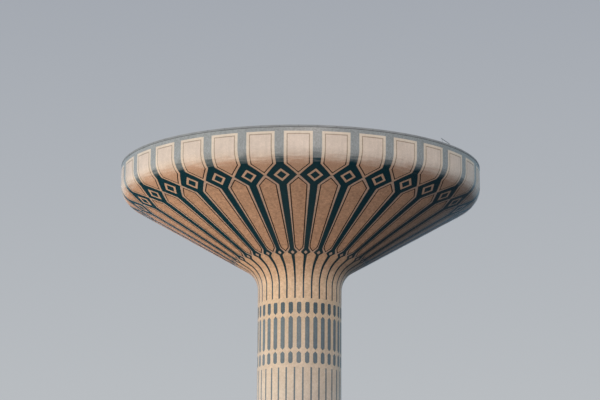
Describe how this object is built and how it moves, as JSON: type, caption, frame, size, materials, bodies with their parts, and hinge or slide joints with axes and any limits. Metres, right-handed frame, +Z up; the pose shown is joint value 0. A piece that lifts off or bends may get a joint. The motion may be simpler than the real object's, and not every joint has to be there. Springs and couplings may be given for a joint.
{
  "type": "mushroom water tower, 1:2 scale model",
  "caption": "Mushroom-shaped water tower: a wide round tank with a conical underside on a hollow round shaft, clad in patterned mosaic.",
  "frame": {"origin": "on the tower's axis at ground level, under the foundation", "axes": "+Z up along the tower's axis; the door faces -Y"},
  "size_m": [20.024, 20.024, 28.3522],
  "materials": {
    "mosaic_wall": "satin",
    "teal_mosaic": "gloss",
    "cream_mosaic": "satin",
    "coping": "matte",
    "concrete": "matte",
    "roof_render": "matte",
    "galvanised_steel": "satin",
    "painted_steel": "satin"
  },
  "bodies": {
    "root": {"foundation": "concrete", "plinth": "concrete", "entry_step_low": "concrete", "entry_step_high": "concrete", "shaft_lower_front_left": "mosaic_wall", "shaft_lower_front_right": "mosaic_wall", "shaft_over_door": "mosaic_wall", "shaft_lower_right": "mosaic_wall", "shaft_lower_back": "mosaic_wall", "shaft_lower_left": "mosaic_wall", "shaft_upper_front": "mosaic_wall", "shaft_upper_right": "mosaic_wall", "shaft_upper_back": "mosaic_wall", "shaft_upper_left": "mosaic_wall", "neck_front": "mosaic_wall", "neck_right": "mosaic_wall", "neck_back": "mosaic_wall", "neck_left": "mosaic_wall", "tank_floor": "concrete", "cone_front": "mosaic_wall", "cone_front_right": "mosaic_wall", "cone_right": "mosaic_wall", "cone_back_right": "mosaic_wall", "cone_back": "mosaic_wall", "cone_back_left": "mosaic_wall", "cone_left": "mosaic_wall", "cone_front_left": "mosaic_wall", "rim_front": "mosaic_wall", "rim_front_right": "mosaic_wall", "rim_right": "mosaic_wall", "rim_back_right": "mosaic_wall", "rim_back": "mosaic_wall", "rim_back_left": "mosaic_wall", "rim_left": "mosaic_wall", "rim_front_left": "mosaic_wall", "rim_coping": "coping", "roof_front": "roof_render", "roof_right": "roof_render", "roof_back": "roof_render", "roof_left": "roof_render", "vent_curb": "concrete", "vent_cap": "galvanised_steel", "roof_handrail": "galvanised_steel", "door_frame": "painted_steel", "door_leaf": "painted_steel"}
  },
  "joints": []
}
